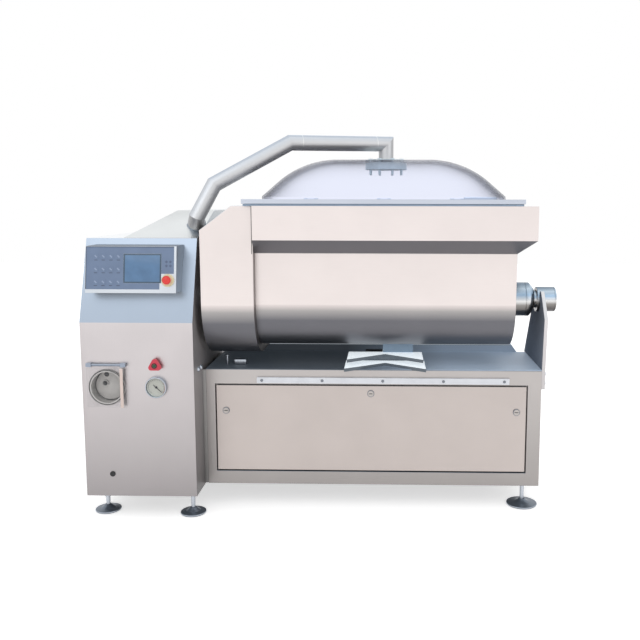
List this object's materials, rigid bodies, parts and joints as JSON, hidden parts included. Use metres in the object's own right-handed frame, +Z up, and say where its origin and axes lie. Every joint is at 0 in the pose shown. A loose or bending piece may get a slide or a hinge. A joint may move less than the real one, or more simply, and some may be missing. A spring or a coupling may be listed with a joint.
{
  "type": "vacuum meat mixer",
  "caption": "Tilting twin-shaft mixing trough with a clear domed lid and vacuum pipe, carried between a sloped control cabinet and an end bearing over a low panelled base.",
  "frame": {"origin": "centre of the bounding box at floor level", "axes": "+X from the control cabinet towards the end bearing, -Y towards the operator in front, +Z up"},
  "size_m": [2.245, 1.2036, 1.8271],
  "materials": {
    "drum_steel": "satin",
    "cabinet_steel": "satin",
    "base_steel": "satin",
    "pipe_steel": "polished",
    "machined_steel": "machined",
    "clear_plastic": "clear",
    "white_plastic": "satin",
    "seal_rubber": "matte",
    "membrane_film": "satin",
    "screen_glass": "gloss",
    "red_plastic": "gloss",
    "yellow_plastic": "satin",
    "drive_paint": "satin",
    "gear_steel": "machined"
  },
  "bodies": {
    "frame": {"cabinet_shell": "cabinet_steel", "wall_seal": "seal_rubber", "cabinet_hood": "cabinet_steel", "vacuum_port": "pipe_steel", "base_frame": "base_steel", "deck_plate": "base_steel", "access_panel": "base_steel", "bumper_strip": "white_plastic", "bumper_screws": "machined_steel", "v_ledge_lower": "base_steel", "v_ledge_upper": "base_steel", "cradle_pad": "white_plastic", "end_plate": "base_steel", "bearing_housing": "machined_steel", "bearing_stand": "base_steel", "tilt_gearmotor": "drive_paint", "main_gearmotor": "drive_paint", "hmi_box": "cabinet_steel", "hmi_film": "membrane_film", "hmi_screen": "screen_glass", "estop_ring": "yellow_plastic", "trap_bowl": "machined_steel", "cover_hinge": "machined_steel", "valve_body": "machined_steel", "gauge_case": "machined_steel", "gauge_lens": "clear_plastic", "blanking_plug": "machined_steel", "foot_discs": "machined_steel", "foot_studs": "machined_steel", "pump_set": "drive_paint"},
    "drum": {"trough": "drum_steel", "rim_band": "drum_steel", "rim_gasket": "seal_rubber", "drive_casing": "drum_steel", "rear_shaft_bearings": "machined_steel", "shaft_seals": "seal_rubber", "right_trunnion": "machined_steel", "left_trunnion": "machined_steel", "tilt_wheel": "gear_steel", "hinge_lugs": "drum_steel", "lid_actuator": "drum_steel"},
    "lid": {"lid_frame": "drum_steel", "lid_dome": "clear_plastic", "clamp_rings": "machined_steel", "lid_bolts": "machined_steel", "vacuum_pipe": "pipe_steel", "hinge_pin": "machined_steel"},
    "agitator_front_body": {"agitator_front": "drum_steel", "gear_front": "gear_steel"},
    "agitator_rear_body": {"agitator_rear": "drum_steel", "gear_rear": "gear_steel"},
    "tilt_pinion_body": {"tilt_pinion": "gear_steel"},
    "pump_coupling_body": {"pump_coupling": "machined_steel"},
    "lock_left": {"panel_lock_left": "machined_steel"},
    "lock_middle": {"panel_lock_middle": "machined_steel"},
    "lock_right": {"panel_lock_right": "machined_steel"},
    "estop": {"estop_button": "red_plastic"},
    "cover": {"trap_cover": "clear_plastic"},
    "knob": {"valve_knob": "red_plastic"},
    "needle": {"gauge_needle": "machined_steel"}
  },
  "joints": [
    {"name": "drum_tilt", "type": "hinge", "parent": "frame", "child": "drum", "pos_m": [0.288, -0.22816, 1.021], "axis": [1, 0, 0], "range_deg": [0, 95]},
    {"name": "lid_open", "type": "hinge", "parent": "drum", "child": "lid", "pos_m": [0.2755, 0.53784, 1.4968], "axis": [-1, 0, 0], "range_deg": [0, 85]},
    {"name": "agitator_front_spin", "type": "hinge", "parent": "drum", "child": "agitator_front_body", "pos_m": [0.288, -0.22816, 1.021], "axis": [1, 0, 0], "continuous": true},
    {"name": "agitator_rear_spin", "type": "hinge", "parent": "drum", "child": "agitator_rear_body", "pos_m": [0.288, 0.21184, 1.021], "axis": [1, 0, 0], "continuous": true},
    {"name": "tilt_pinion_spin", "type": "hinge", "parent": "frame", "child": "tilt_pinion_body", "pos_m": [-0.6525, -0.08353, 0.84864], "axis": [1, 0, 0], "range_deg": [-380, 0]},
    {"name": "pump_spin", "type": "hinge", "parent": "frame", "child": "pump_coupling_body", "pos_m": [0.094, -0.12116, 0.262], "axis": [1, 0, 0], "continuous": true},
    {"name": "estop_press", "type": "slide", "parent": "frame", "child": "estop", "axis": [0, 0.988, -0.1545], "range_m": [0, 0.006]},
    {"name": "trap_cover_open", "type": "hinge", "parent": "frame", "child": "cover", "pos_m": [-1.0025, -0.54046, 0.745], "axis": [-1, 0, 0], "range_deg": [0, 100]},
    {"name": "vent_valve_turn", "type": "hinge", "parent": "frame", "child": "knob", "pos_m": [-0.7725, -0.52816, 0.745], "axis": [0, -1, 0], "range_deg": [0, 90]},
    {"name": "gauge_needle_swing", "type": "hinge", "parent": "frame", "child": "needle", "pos_m": [-0.7735, -0.52816, 0.639], "axis": [0, -1, 0], "range_deg": [0, 270]},
    {"name": "lock_left_turn", "type": "hinge", "parent": "frame", "child": "lock_left", "pos_m": [-0.4855, -0.37116, 0.486], "axis": [0, -1, 0], "range_deg": [0, 90]},
    {"name": "lock_middle_turn", "type": "hinge", "parent": "frame", "child": "lock_middle", "pos_m": [0.2195, -0.37116, 0.574], "axis": [0, 1, 0], "range_deg": [0, 90]},
    {"name": "lock_right_turn", "type": "hinge", "parent": "frame", "child": "lock_right", "pos_m": [0.9245, -0.37116, 0.486], "axis": [0, 1, 0], "range_deg": [0, 90]}
  ],
  "couplings": [
    {"joint": "agitator_rear_spin", "follows": "agitator_front_spin", "ratio": -1},
    {"joint": "tilt_pinion_spin", "follows": "drum_tilt", "ratio": -4}
  ]
}
